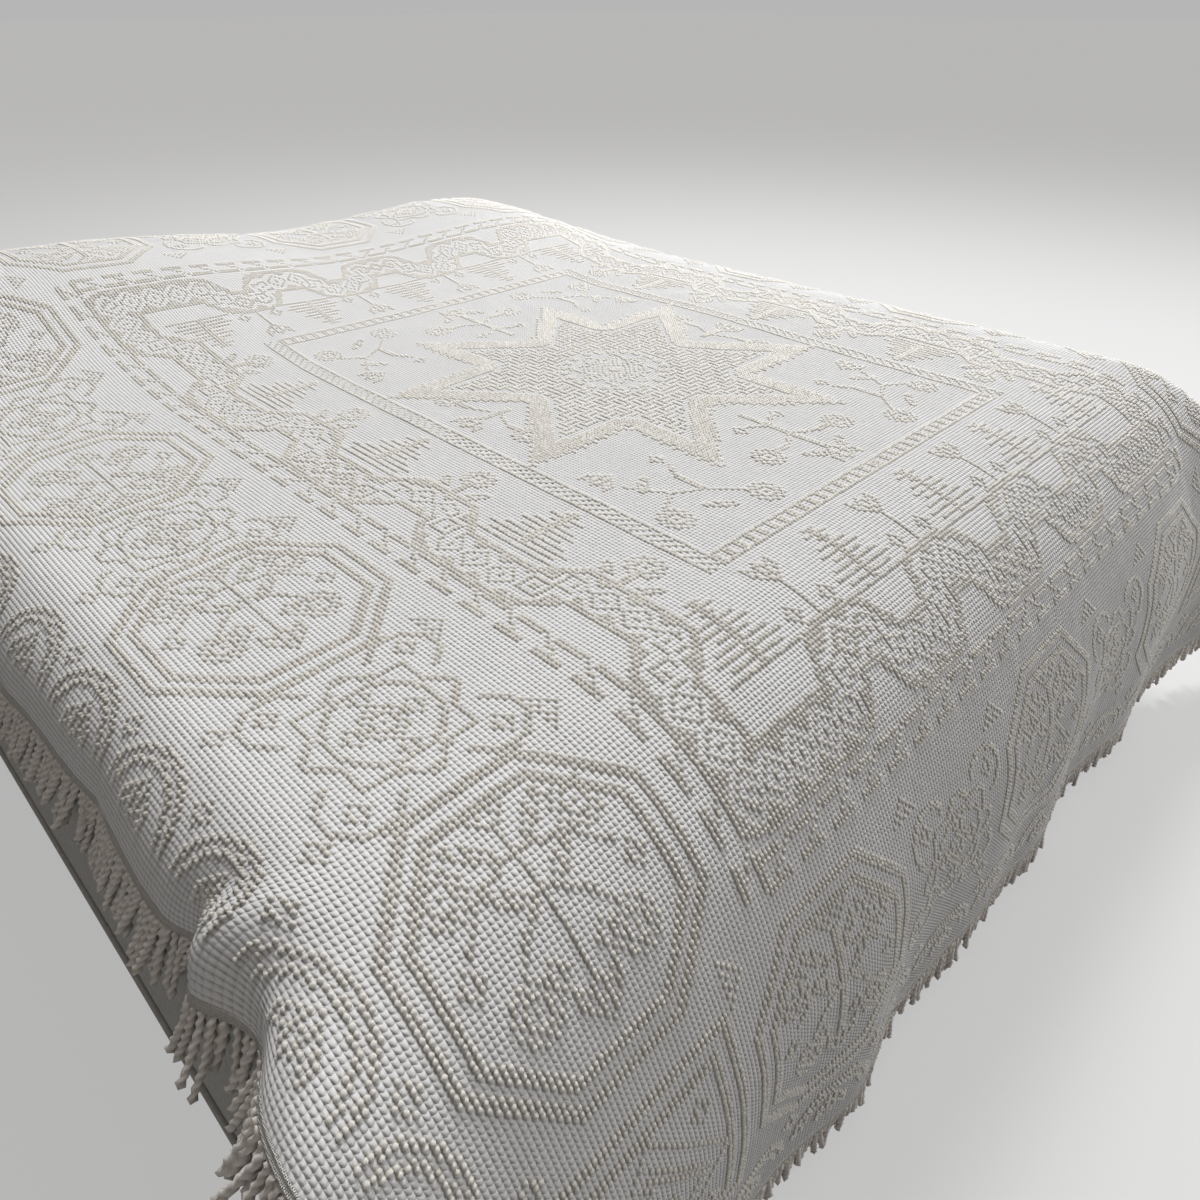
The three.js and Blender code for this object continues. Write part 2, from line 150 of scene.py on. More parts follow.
plain_weave = plain_weave_group()


def woven_material(name, dark, light, threads, depth, rough):
    """A plain woven cloth with so many threads to the metre."""
    material, tree, shader = plain_material(name)
    weave = tree.nodes.new("ShaderNodeGroup")
    weave.node_tree = plain_weave
    weave.inputs["Threads"].default_value = threads * math.tau
    colour = ramp(tree, weave.outputs["Fleck"], 0.35, dark, 0.7, light)
    tree.links.new(colour, shader.inputs["Base Color"])
    shader.inputs["Roughness"].default_value = rough
    shader.inputs["Sheen Weight"].default_value = 0.15
    bump(tree, shader, weave.outputs["Height"], depth)
    return material


upholstery = woven_material("upholstery", BASE_DARK, BASE_LIGHT, BASE_THREADS, 0.0004, 0.85)
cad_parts["bed_base"].data.materials.clear()
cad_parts["bed_base"].data.materials.append(upholstery)

PIPING_RADIUS = 0.0035
PIPING_SIDES, PIPING_STATIONS = 8, 480
PIPING_SUNK = Vector((0.0012, 0.0012, 0))
PIPING_FROM_EDGE = 0.0125
BED_CORNER = 0.070
WELD = 0.00001


def swept_bmesh(stations, section, place_at):
    """A grid rolled up into a closed tube; place_at(station, section point) gives its places."""
    bm = bmesh.new()
    bmesh.ops.create_grid(bm, x_segments=stations, y_segments=section, size=0.5)
    flat = np.array([vert.co for vert in bm.verts])
    k = np.rint((flat[:, 0] + 0.5) * stations).astype(int) % stations
    j = np.rint((flat[:, 1] + 0.5) * section).astype(int) % section
    for vert, place in zip(bm.verts, place_at(k, j)):
        vert.co = place
    bmesh.ops.remove_doubles(bm, verts=bm.verts, dist=WELD)
    bmesh.ops.recalc_face_normals(bm, faces=bm.faces)
    return bm


def link_piece(name, bm, material):
    """Turns a bmesh into a smooth piece of the object."""
    mesh = bpy.data.meshes.new(name)
    for face in bm.faces:
        face.smooth = True
    bm.to_mesh(mesh)
    bm.free()
    mesh.materials.append(material)
    piece = bpy.data.objects.new(name, mesh)
    bpy.context.scene.collection.objects.link(piece)
    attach(piece, "root")
    return piece


def round_box(share, low, high, radius):
    """A point on a rectangle with round corners, some share of the way round it."""
    side_x, side_y = high.x - low.x - 2 * radius, high.y - low.y - 2 * radius
    arc = radius * math.pi / 2
    stops = np.cumsum([0, side_y, arc, side_x, arc, side_y, arc, side_x, arc])
    run = share * stops[-1]
    turn = sum(np.clip((run - stop) / radius, 0, math.pi / 2) for stop in stops[1::2][:4])
    x = high.x - radius - np.clip(run - stops[2], 0, side_x) + np.clip(run - stops[6], 0, side_x)
    y = low.y + radius + np.clip(run, 0, side_y) - np.clip(run - stops[4], 0, side_y)
    return x + radius * np.cos(turn), y + radius * np.sin(turn), turn


def piping(name, low, high, height, material):
    """A cord sewn round the bed between two opposite corners, at one height."""

    def places(k, j):
        x, y, turn = round_box(k / PIPING_STATIONS, low, high, BED_CORNER)
        around = j / PIPING_SIDES * math.tau
        out = PIPING_RADIUS * np.cos(around)
        rise = height + PIPING_RADIUS * np.sin(around)
        return np.stack([x + out * np.cos(turn), y + out * np.sin(turn), rise], axis=1)

    return link_piece(name, swept_bmesh(PIPING_STATIONS, PIPING_SIDES, places), material)


base_low, base_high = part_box("bed_base")
edges = (("top", base_high.z - PIPING_FROM_EDGE), ("bottom", base_low.z + PIPING_FROM_EDGE))
for name, height in edges:
    edging = piping(
        f"base_piping_{name}", base_low + PIPING_SUNK, base_high - PIPING_SUNK, height, upholstery
    )

# ---- Mattress --------------------------------------------------------------------------------
# A filled pad in cotton ticking, its soft top edge pressed down by years of bedding. A corded seam
# joins its border to its bottom panel.

TICKING_DARK = (0.60, 0.585, 0.55, 1)
TICKING_LIGHT = (0.77, 0.76, 0.73, 1)
TICKING_THREADS = 1100
SEAM_ABOVE_BOTTOM = 0.022
PAD_INSIDE = 0.0005

ticking = woven_material("ticking", TICKING_DARK, TICKING_LIGHT, TICKING_THREADS, 0.0003, 0.8)


def soft_copy(node, cuts, rounds):
    """A finer, softened copy of a CAD solid, drawn in a little so that it stays inside it."""
    bm = bmesh.new()
    bm.from_mesh(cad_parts[node].data)
    bmesh.ops.remove_doubles(bm, verts=bm.verts, dist=0.0001)
    bmesh.ops.dissolve_limit(bm, angle_limit=math.radians(0.5), verts=bm.verts, edges=bm.edges)
    bmesh.ops.triangulate(bm, faces=bm.faces)
    longest = max(edge.calc_length() for edge in bm.edges)
    for step in range(cuts):
        long_edges = [edge for edge in bm.edges if edge.calc_length() > longest * 0.55 ** (step + 1)]
        bmesh.ops.subdivide_edges(bm, edges=long_edges, cuts=1)
        bmesh.ops.triangulate(bm, faces=bm.faces)
    bm.normal_update()
    for vert in bm.verts:
        vert.co -= vert.normal * PAD_INSIDE
    for step in range(rounds):
        bmesh.ops.smooth_vert(
            bm, verts=bm.verts, factor=0.5, use_axis_x=True, use_axis_y=True, use_axis_z=True
        )
    return bm


mattress = link_piece("mattress_pad", soft_copy("mattress", 5, 2), ticking)
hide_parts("mattress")
mattress_low, mattress_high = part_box("mattress")
seam = piping("mattress_seam", mattress_low, mattress_high, mattress_low.z + SEAM_ABOVE_BOTTOM, ticking)

# ---- Pillows ---------------------------------------------------------------------------------
# Two plain filled pillows in cotton cases, side by side at the head under the spread.

CASE_DARK = (0.70, 0.69, 0.67, 1)
CASE_LIGHT = (0.82, 0.815, 0.80, 1)
CASE_THREADS = 1400

pillowcase = woven_material("pillowcase", CASE_DARK, CASE_LIGHT, CASE_THREADS, 0.0002, 0.8)
for node in ("pillow_near", "pillow_far"):
    pillow = link_piece(f"{node}_bag", soft_copy(node, 2, 2), pillowcase)
    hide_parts(node)

# ---- Bedspread: how the sheet lies -----------------------------------------------------------
# One cotton sheet, woven flat with a pattern of thick tufts, then thrown over the bed. Its flat
# place is reckoned in millimetres from the middle of the mattress. lie() gives where a point of
# it comes to rest: level on top, over the pillows, and down past the sides and the foot.

MM = 0.001
OVER_MATTRESS = 1.9
bed_middle = (mattress_low + mattress_high) / 2
LEVEL = mattress_high.z / MM + OVER_MATTRESS

WIDE, LONG, CORNER = 2112, 2628, 230
MIDDLE_X, MIDDLE_Y = 151, -190
NEAR, FAR = MIDDLE_X - WIDE / 2, MIDDLE_X + WIDE / 2
FOOT, HEAD = MIDDLE_Y - LONG / 2, MIDDLE_Y + LONG / 2

# Where the cloth starts to turn, and its slope below level in degrees at distances along it.
TURN_NEAR = (-762, ((0, 0), (143, 75)))
TURN_FAR = (785, ((0, 0), (60, 6), (150, 80), (422, 87)))
TURN_FOOT = (-736, ((0, 0), (60, 12), (120, 22), (180, 38), (240, 52), (300, 61),
                    (420, 69), (480, 82), (560, 88), (768, 89)))
TURN_HEAD = (932, ((0, 0), (112, 84), (192, 88)))
CLIMB = (171, ((0, 0), (150, -8), (300, -16), (400, -26), (470, -19), (560, -8),
               (650, 0), (750, 12), (815, 34), (865, 68), (905, 84), (953, 88)))
# How much of the climb over a full pillow the cloth makes, at places across the bed.
PILLOW_SHARE = ((-1000, 0.22), (-900, 0.42), (-760, 0.82), (-600, 1), (-430, 1.04), (-225, 0.93),
                (-60, 0.76), (60, 0.63), (200, 0.6), (400, 0.67), (530, 0.71), (660, 0.64),
                (760, 0.42), (850, 0.17), (930, 0), (1300, 0))
# Soft ridges and troughs on the flat sheet: from x, y to x, y, width and rise.
FOLDS = (
    (-330, -960, -310, -1504, 70, 16), (-130, -1000, -150, -1504, 80, -9),
    (-480, -1050, -470, -1504, 60, -7), (40, -1000, 60, -1504, 70, 6),
    (230, -980, 250, -1504, 80, 14), (430, -1000, 420, -1504, 75, -12),
    (620, -960, 640, -1504, 80, 15), (-720, -980, -760, -1504, 70, 9),
    (-790, -738, -905, -708, 26, -12), (-770, -790, -905, -776, 25, 14),
    (-764, -808, -905, -834, 30, -19), (-800, -630, -905, -625, 42, 3),
    (-800, -925, -905, -935, 48, 9), (-790, -500, -905, -490, 45, -8),
    (-800, -250, -905, -240, 60, 8), (-800, -60, -905, -40, 50, -7),
    (-800, 180, -905, 200, 70, 8), (930, -420, 1207, -450, 80, 13),
    (930, -180, 1207, -170, 85, -11), (930, 80, 1207, 60, 90, 14),
    (930, 380, 1207, 400, 90, -10), (930, 680, 1207, 660, 90, 13),
    (-200, -300, 420, -80, 210, 5), (-600, 60, -300, 380, 150, 4),
    (380, 120, 720, -420, 160, 3),
)
# The pocket in the near hem, where the cloth is also pushed towards the head: x, y, widths, push.
PINCH = (-862, -775, 58, 68, 38)


def ease(share):
    share = np.clip(share, 0, 1)
    return share * share * (3 - 2 * share)


def follow(rows, along):
    """How far out and how far down the cloth has gone, some way along a slope table."""
    out = np.zeros(np.shape(along))
    down = np.zeros(np.shape(along))
    for (start, slope), (end, end_slope) in zip(rows, rows[1:]):
        turn = math.radians(end_slope - slope) / (end - start)
        first = math.radians(slope)
        last = first + turn * (np.clip(along, start, end) - start)
        out += (np.sin(last) - math.sin(first)) / turn
        down += (math.cos(first) - np.cos(last)) / turn
    end, slope = rows[-1]
    rest = np.maximum(along - end, 0)
    return out + rest * math.cos(math.radians(slope)), down + rest * math.sin(math.radians(slope))


def smooth_row(rows, at):
    """A smooth curve through a table's rows."""
    keys, values = np.array(rows, float).T
    tangents = np.gradient(values)
    tangents[1:-1] = (values[2:] - values[:-2]) / (keys[2:] - keys[:-2])
    tangents[0] = (values[1] - values[0]) / (keys[1] - keys[0])
    tangents[-1] = (values[-1] - values[-2]) / (keys[-1] - keys[-2])
    at = np.clip(at, keys[0], keys[-1])
    row = np.clip(np.searchsorted(keys, at) - 1, 0, len(keys) - 2)
    span = keys[row + 1] - keys[row]
    t = (at - keys[row]) / span
    start = values[row] * (1 + 2 * t) * (1 - t) ** 2 + tangents[row] * span * t * (1 - t) ** 2
    return start + values[row + 1] * t * t * (3 - 2 * t) + tangents[row + 1] * span * t * t * (t - 1)


def over_bed(x, y):
    """The sheet over the bare bed; past two edges it shares out both hangs by angle."""
    outward = np.where(x < 0, -1, 1)
    endward = np.where(y < 0, -1, 1)
    side_start = np.where(x < 0, TURN_NEAR[0], TURN_FAR[0])
    end_start = np.where(y < 0, TURN_FOOT[0], TURN_HEAD[0])
    past_side = np.maximum((x - side_start) * outward, 0)
    past_end = np.maximum((y - end_start) * endward, 0)
    side = np.where(x < 0, follow(TURN_NEAR[1], past_side), follow(TURN_FAR[1], past_side))
    end = np.where(y < 0, follow(TURN_FOOT[1], past_end), follow(TURN_HEAD[1], past_end))
    by_side = np.stack([np.where(past_side > 0, side_start + outward * side[0], x), y, -side[1]])
    by_end = np.stack([x, np.where(past_end > 0, end_start + endward * end[0], y), -end[1]])
    share = np.where(past_side == 0, 1, ease(np.arctan2(past_end, past_side) / (math.pi / 2)))
    return by_side + (by_end - by_side) * share


def plain_lie(x, y):
    """The sheet over the bed and its pillows, with the pinched pocket's push."""
    place = over_bed(x, y)
    humped = follow(CLIMB[1], np.maximum(y - CLIMB[0], 0))
    plain = follow(TURN_HEAD[1], np.maximum(y - TURN_HEAD[0], 0))
    share = np.where(y > CLIMB[0], smooth_row(PILLOW_SHARE, x), 0)
    place[1] += share * (CLIMB[0] + humped[0] - np.minimum(y, TURN_HEAD[0]) - plain[0])
    place[2] += share * (plain[1] - humped[1]) + LEVEL
    pinch_x, pinch_y, wide_x, wide_y, push = PINCH
    place[1] += push * np.exp(-(((x - pinch_x) / wide_x) ** 2) - ((y - pinch_y) / wide_y) ** 2)
    return place


def fold_height(x, y):
    """Height of the folds over the plain lie, with the small unevenness of any woven cloth."""
    height = 0.7 * np.sin(x / 23 + 1.4 * np.sin(y / 67)) * np.sin(y / 31 + 1.7 * np.sin(x / 83))
    for x1, y1, x2, y2, wide, rise in FOLDS:
        run_x, run_y = x2 - x1, y2 - y1
        share = ((x - x1) * run_x + (y - y1) * run_y) / (run_x**2 + run_y**2)
        reach = np.clip(share, 0, 1.1)
        away = np.hypot(x - x1 - reach * run_x, y - y1 - reach * run_y) / wide
        height += rise * ease(share) * np.exp(-away * away)
    return height


def lie(x, y, lift=0.0):
    """Places on the lying sheet in metres, with the cloth's directions there: across, along and out."""
    step = 2
    across = plain_lie(x + step, y) - plain_lie(x - step, y)
    along = plain_lie(x, y + step) - plain_lie(x, y - step)
    across /= np.linalg.norm(across, axis=0)
    along /= np.linalg.norm(along, axis=0)
    outward = np.cross(across, along, axis=0)
    outward /= np.linalg.norm(outward, axis=0)
    place = plain_lie(x, y) + outward * (fold_height(x, y) + lift)
    place[0] += bed_middle.x / MM
    place[1] += bed_middle.y / MM
    return place.T * MM, across.T, along.T, outward.T


# ---- Bedspread: ground cloth -----------------------------------------------------------------
# The woven ground: rounded ribs that run towards the head, each a string of soft flat beads, a
# row every 6 mm. The ribs are real ridges in the mesh, and the beads are in the surface; the lines
# between ribs and between rows carry painted shade.

RIB, ROW = 5.5, 6.0
COLUMNS, ROWS = round(WIDE / RIB), round(LONG / ROW)
RIB_HIGH = 1.0
SWAY = 0.12
# The curve of a cut corner has evened out so far up the sheet.
CORNER_FADE = 700
GROUND_LIGHT = (0.765, 0.768, 0.775, 1)
# The valley colour is painted shade, which the cloth darkens to in the lines between ribs and rows.
GROUND_VALLEY_SHADE = (0.53, 0.515, 0.495, 1)
# The beads: how far a row bows between two ribs and wanders, in rows, how much each bead falls
# away towards its ends and sides, how dark the painted shade on the line between rows is, and how
# full beads are.
ROW_BOW, ROW_WANDER = -0.22, 0.5
BEAD_FALL_ALONG, BEAD_FALL_ACROSS = 0.42, 0.48
ROW_LINE_SHADE, LINE_SHARPNESS = 0.4, 5
BEAD_LEAST, BEAD_SPREAD, BEAD_HIGH = 0.88, 0.24, 0.0022
# Cross lines of the mesh: from y to y in so many steps, closest where the cloth bends.
CROSS_LINES = ((FOOT, -1100, 24), (-1100, -930, 14), (-930, -660, 27), (-660, 171, 19),
               (171, 520, 14), (520, 900, 18), (900, HEAD, 13))


def ground_bmesh():
    cross = [FOOT]
    for start, end, steps in CROSS_LINES:
        cross.extend(np.linspace(start, end, steps + 1)[1:])
    cross = np.array(cross)
    lines_x, lines_y = 2 * COLUMNS, len(cross) - 1
    bm = bmesh.new()
    bmesh.ops.create_grid(bm, x_segments=lines_x, y_segments=lines_y, size=0.5)
    flat = np.array([vert.co for vert in bm.verts])
    i = np.rint((flat[:, 0] + 0.5) * lines_x).astype(int)
    j = np.rint((flat[:, 1] + 0.5) * lines_y).astype(int)
    x = NEAR + i * RIB / 2
    sway = np.random.default_rng(3).uniform(0, math.tau, (2, lines_x + 1))[:, i]
    # The two foot corners are cut round: a rib there starts on the curve and still runs straight.
    into_corner = np.maximum(np.maximum(NEAR + CORNER - x, x - FAR + CORNER), 0)
    cut_off = CORNER - np.sqrt(CORNER**2 - into_corner**2)
    y = cross[j] + cut_off * np.clip(1 - (cross[j] - FOOT) / CORNER_FADE, 0, 1)
    swayed = x + SWAY * np.sin(y / 29 + sway[0]) + SWAY * np.sin(y / 17 + sway[1])
    places = lie(swayed, y, np.where(i % 2, 0.5, -0.5) * RIB_HIGH)[0]
    for vert, place in zip(bm.verts, places):
        vert.co = place
    flat_map = bm.loops.layers.uv.new("flat_cloth")
    for face in bm.faces:
        for loop in face.loops:
            k = loop.vert.index
            loop[flat_map].uv = ((x[k] - NEAR) / WIDE, (y[k] - FOOT) / LONG)
    return bm


def math_node(tree, operation, first, second=None):
    node = add_node(tree, "ShaderNodeMath", operation=operation)
    for socket, value in ((node.inputs[0], first), (node.inputs[1], second)):
        if isinstance(value, (int, float)):
            socket.default_value = value
        elif value is not None:
            tree.links.new(value, socket)
    return node.outputs["Value"]


def off_middle(tree, share):
    """How far a place in a cell is from the cell's middle: 0 there, 1 at either edge."""
    doubled = math_node(tree, "MULTIPLY", share, 2)
    return math_node(tree, "ABSOLUTE", math_node(tree, "SUBTRACT", doubled, 1))


def ground_cloth():
    material, tree, shader = plain_material("candlewick_ground")
    flat = add_node(tree, "ShaderNodeUVMap", uv_map="flat_cloth")
    cells = add_node(tree, "ShaderNodeVectorMath", operation="MULTIPLY")
    cells.inputs[1].default_value = (COLUMNS, ROWS, 1)
    tree.links.new(flat.outputs["UV"], cells.inputs[0])
    uneven = add_node(tree, "ShaderNodeTexNoise", Scale=0.8, Detail=2.0)
    tree.links.new(cells.outputs["Vector"], uneven.inputs["Vector"])
    parts = tree.nodes.new("ShaderNodeSeparateXYZ")
    tree.links.new(cells.outputs["Vector"], parts.inputs["Vector"])
    shift = math_node(tree, "MULTIPLY", uneven.outputs["Fac"], ROW_WANDER)
    across = off_middle(tree, math_node(tree, "FRACT", parts.outputs["X"]))
    across_2 = math_node(tree, "MULTIPLY", across, across)
    shift = math_node(tree, "ADD", shift, math_node(tree, "MULTIPLY", across_2, ROW_BOW))
    shifted = math_node(tree, "ADD", parts.outputs["Y"], shift)
    along = off_middle(tree, math_node(tree, "FRACT", shifted))
    along_2 = math_node(tree, "MULTIPLY", along, along)
    bead = math_node(tree, "SUBTRACT", 1, math_node(tree, "MULTIPLY", along_2, BEAD_FALL_ALONG))
    side_fall = math_node(tree, "MULTIPLY", across_2, BEAD_FALL_ACROSS)
    bead = math_node(tree, "SUBTRACT", bead, side_fall)
    # Painted shade: the colour darkens into the lines between rows and between ribs.
    row_edge = math_node(tree, "POWER", along, LINE_SHARPNESS)
    shade_between_rows = math_node(tree, "MULTIPLY", row_edge, ROW_LINE_SHADE)
    shade_between_ribs = math_node(tree, "POWER", across, LINE_SHARPNESS)
    shade = math_node(tree, "SUBTRACT", 1, shade_between_ribs)
    shade = math_node(tree, "SUBTRACT", shade, shade_between_rows)
    colour = ramp(tree, shade, 0.1, GROUND_VALLEY_SHADE, 0.8, GROUND_LIGHT)
    tree.links.new(colour, shader.inputs["Base Color"])
    shader.inputs["Roughness"].default_value = 0.9
    shader.inputs["Sheen Weight"].default_value = 0.1
    cell = add_node(tree, "ShaderNodeVectorMath", operation="FLOOR")
    tree.links.new(cells.outputs["Vector"], cell.inputs[0])
    fullness = add_node(tree, "ShaderNodeTexWhiteNoise", noise_dimensions="2D")
    tree.links.new(cell.outputs["Vector"], fullness.inputs["Vector"])
    extra = math_node(tree, "MULTIPLY", fullness.outputs["Value"], BEAD_SPREAD)
    fullness = math_node(tree, "ADD", extra, BEAD_LEAST)
    bump(tree, shader, math_node(tree, "MULTIPLY", bead, fullness), BEAD_HIGH)
    return material


ground = link_piece("bedspread_ground", ground_bmesh(), ground_cloth())
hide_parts("bedspread")

# ---- Bedspread: hem --------------------------------------------------------------------------
# The edge is a narrow flat selvage all the way round, turned under, with one raised line of
# thread along its very edge and one inside it.

HEM_WIDE, HEM_THICK = 8.0, 3.0
HEM_DARK = (0.74, 0.72, 0.68, 1)
HEM_LIGHT = (0.83, 0.815, 0.78, 1)
HEM_THREADS = 700
# How far inwards and how high each corner of its section lies, as shares of those two.
HEM_SECTION = ((-0.04, 0.0), (0.0, 0.46), (0.13, 0.66), (0.26, 0.3), (0.6, 0.3), (0.72, 0.55),
               (0.84, 0.3), (1.0, 0.0), (1.0, -0.4), (0.5, -0.5), (0.05, -0.45))
SIDE_RUN = HEAD - FOOT - CORNER
ARC_RUN = CORNER * math.pi / 2
FOOT_RUN = WIDE - 2 * CORNER
FRINGED_RUN = 2 * SIDE_RUN + 2 * ARC_RUN + FOOT_RUN


def edge_point(run):
    """A point of the flat sheet's edge and its outward direction, some way round from the near
    head corner: down the near side, round the foot, up the far side and back along the head."""
    stops = np.cumsum([SIDE_RUN, ARC_RUN, FOOT_RUN, ARC_RUN, SIDE_RUN])
    first_turn = np.clip((run - stops[0]) / CORNER, 0, math.pi / 2)
    second_turn = np.clip((run - stops[2]) / CORNER, 0, math.pi / 2)
    turn = first_turn + second_turn
    out_x, out_y = -np.cos(turn), -np.sin(turn)
    on_foot = np.clip(run - stops[1], 0, FOOT_RUN)
    up_far = np.clip(run - stops[3], 0, SIDE_RUN)
    down_near = np.clip(run, 0, SIDE_RUN)
    x = NEAR + CORNER + on_foot + CORNER * out_x
    y = HEAD - down_near + up_far + CORNER * out_y
    on_head = run > stops[4]
    x = np.where(on_head, FAR - (run - stops[4]), x)
    y = np.where(on_head, HEAD, y)
    return x, y, np.where(on_head, 0, out_x), np.where(on_head, 1, out_y)


HEM_STATIONS = 960


def hem_places(k, j):
    run = k / HEM_STATIONS * (FRINGED_RUN + WIDE)
    x, y, out_x, out_y = edge_point(run)
    inward, rise = np.array(HEM_SECTION)[j].T
    return lie(x - out_x * inward * HEM_WIDE, y - out_y * inward * HEM_WIDE, rise * HEM_THICK)[0]


selvage = woven_material("hem_cotton", HEM_DARK, HEM_LIGHT, HEM_THREADS, 0.0005, 0.9)
hem_tube = swept_bmesh(HEM_STATIONS, len(HEM_SECTION), hem_places)
hem = link_piece("bedspread_hem", hem_tube, selvage)

# ---- Bedspread: tufts ------------------------------------------------------------------------
# The pattern stands on the ground in thick soft nubs, one to a rib and row where it is charted.
# The chart is a quarter of the sheet, counted outwards from its middle, and mirrored both ways.

column = np.arange(COLUMNS // 2) + 0.5
row = np.arange(ROWS // 2) + 0.5
C, R = np.meshgrid(column, row)
tufted = np.zeros(C.shape, bool)


def beside_path(points):
    """For every cell, in cells: how far it lies from a path, and how far along the path."""
    nearest = np.full(C.shape, 1e9)
    along_at = np.zeros(C.shape)
    gone = 0.0
    for (c1, r1), (c2, r2) in zip(points[:-1], points[1:]):
        length = math.hypot(c2 - c1, r2 - r1)
        share = np.clip(((C - c1) * (c2 - c1) + (R - r1) * (r2 - r1)) / length**2, 0, 1)
        away = np.hypot(C - c1 - share * (c2 - c1), R - r1 - share * (r2 - r1))
        along_at = np.where(away < nearest, gone + share * length, along_at)
        nearest = np.minimum(nearest, away)
        gone += length
    return nearest, along_at


def tuft_path(points, wide=1.0):
    tufted[beside_path(points)[0] <= wide / 2] = True


def tuft_motif(motif, c, r, turned=False):
    """A small charted motif, centred on column c and row r; its first line lies furthest out."""
    cells = np.array([[mark == "#" for mark in line] for line in motif])[::-1]
    if turned:
        cells = cells.T
    tall, broad = cells.shape
    first_r, first_c = round(r - tall / 2), round(c - broad / 2)
    for i, j in zip(*np.nonzero(cells)):
        if 0 <= first_r + i < ROWS // 2 and 0 <= first_c + j < COLUMNS // 2:
            tufted[first_r + i, first_c + j] = True


def mirrored(motif):
    return tuple(line[::-1] for line in motif)


ROSETTE = (
    "...#.#...",
    ".##.#.##.",
    ".#.###.#.",
    "#.#...#.#",
    ".##.#.##.",
    "#.#...#.#",
    ".#.###.#.",
    ".##.#.##.",
    "...#.#...",
)
BELL = (
    "#...#...#",
    "##.###.##",
    "#.##.##.#",
    "##.#.#.##",
    ".#.###.#.",
    "..##.##..",
    "...#.#...",
    "....#....",
)
LEAF = (
    "##.....",
    "#.##...",
    ".#.##..",
    "..##.#.",
    "...#.##",
    ".....##",
)
BUD = (
    "..#..",
    ".#.#.",
    "##.##",
    ".#.#.",
    "..#..",
)
LINK = (
    "##.....",
    "##...##",
    "##...##",
    "##...##",
    "##..###",
    "##.#.##",
    "##.#.##",
    "..#..##",
    ".#.....",
    "#......",
)
WEDGE = (
    "#.#.#.#.#",
    ".#.#.#.#.",
    "..#...#..",
    "...#.#...",
    "....#....",
)

# The middle: a star of eight points in pairs, with saw teeth along its closely tufted edge, one
# bare line inside that, and basket blocks within, round a ringed rosette.
STAR = [(0, 36), (30, 62), (29, 31), (64, 30), (37, 0)]


def inside(points):
    """How deep every cell lies inside an outline that closes on the middle; negative outside."""
    within = np.zeros(C.shape, bool)
    ring = points + [(0, 0)]
    for (c1, r1), (c2, r2) in zip(ring, ring[1:] + ring[:1]):
        if r1 != r2:
            within ^= ((r1 > R) != (r2 > R)) & (C < (c2 - c1) * (R - r1) / (r2 - r1) + c1)
    return np.where(within, 1, -1) * beside_path(points)[0]


depth = inside(STAR)
teeth = np.abs((C + R) % 4 - 2) * 0.9 - 1.2
blocks = ((C // 4).astype(int) + (R // 4).astype(int)) % 2
basket = np.where(blocks == 0, C % 2 < 1, R % 2 < 1) | ((C % 4 < 1) & (R % 4 < 1))
tufted |= ((depth > teeth) & (depth < 6.0)) | ((depth > 7.4) & basket)
CELL = math.sqrt(RIB * ROW)
from_middle = np.hypot(C * RIB, R * ROW) / CELL
turn = np.arctan2(R * ROW, C * RIB)
checks = (C.astype(int) + R.astype(int)) % 2 == 0
tufted[from_middle < 17.5] = False
tufted |= (from_middle > 14.2) & (from_middle < 16.6) & (np.sin(24 * turn) > -0.5)
petals = from_middle < 8.4 + 2.2 * np.cos(8 * turn)
tufted |= petals & (from_middle > 3.4) & checks
tufted |= (np.abs(from_middle - 10.8 - 2.2 * np.cos(8 * turn)) < 0.7) | (from_middle < 2.0)

# Round the star: a bough in each corner of the frame, and a spray in the middle of each side.
tuft_path([(33, 75), (42, 66), (50, 62), (56, 52)])
tuft_path([(42, 66), (42, 57), (38, 52)])
tuft_path([(50, 62), (58, 67)])
tuft_motif(ROSETTE, 33, 76)
tuft_motif(ROSETTE, 59, 70)
tuft_motif(BELL, 57, 47, turned=True)
tuft_motif(BUD, 38, 49)
tuft_motif(LEAF, 45, 73)
tuft_motif(mirrored(LEAF), 51, 55)
tuft_path([(0, 46), (0, 73)])
tuft_path([(0, 62), (7, 66), (13, 66)])
tuft_path([(0, 56), (6, 52)])
tuft_motif(BELL, 0, 77)
tuft_motif(ROSETTE, 16, 67)
tuft_motif(BUD, 8, 52)
tuft_motif(LEAF, 6, 74)
tuft_path([(44, 0), (54, 0)])
tuft_path([(48, 0), (52, 8), (52, 14)])
tuft_motif(BELL, 58, 0, turned=True)
tuft_motif(ROSETTE, 53, 17)
tuft_motif(BUD, 45, 10)

# The frame: a lattice band up the sides and a ladder across the ends.
side_band = (C > 65) & (C < 71) & (R < 89)
end_band = (R > 84) & (R < 89) & (C < 66)
tufted |= side_band & (((C.astype(int) + R.astype(int)) % 3 == 0) | (C < 66) | (C > 70))
tufted |= end_band & ((C % 4 < 2) | (R < 85) | (R > 88))


# Trees in rows round the frame, their tips towards it, with a flower on a stem between each two.
def tree(across, along, middle, tip, foot, half):
    """A tree of bars that grow from the tip to the foot, with ragged ends."""
    reach = (along - tip) / (foot - tip)
    ragged = 1.5 * ((along * 0.5).astype(int) % 3)
    bar = (np.abs(across - middle) < half * reach + ragged) & (along.astype(int) % 2 == 0)
    trunk = (np.abs(across - middle) < 0.6) & (reach < 0.9)
    tufted[(reach > 0) & (reach < 1) & (bar | trunk)] = True


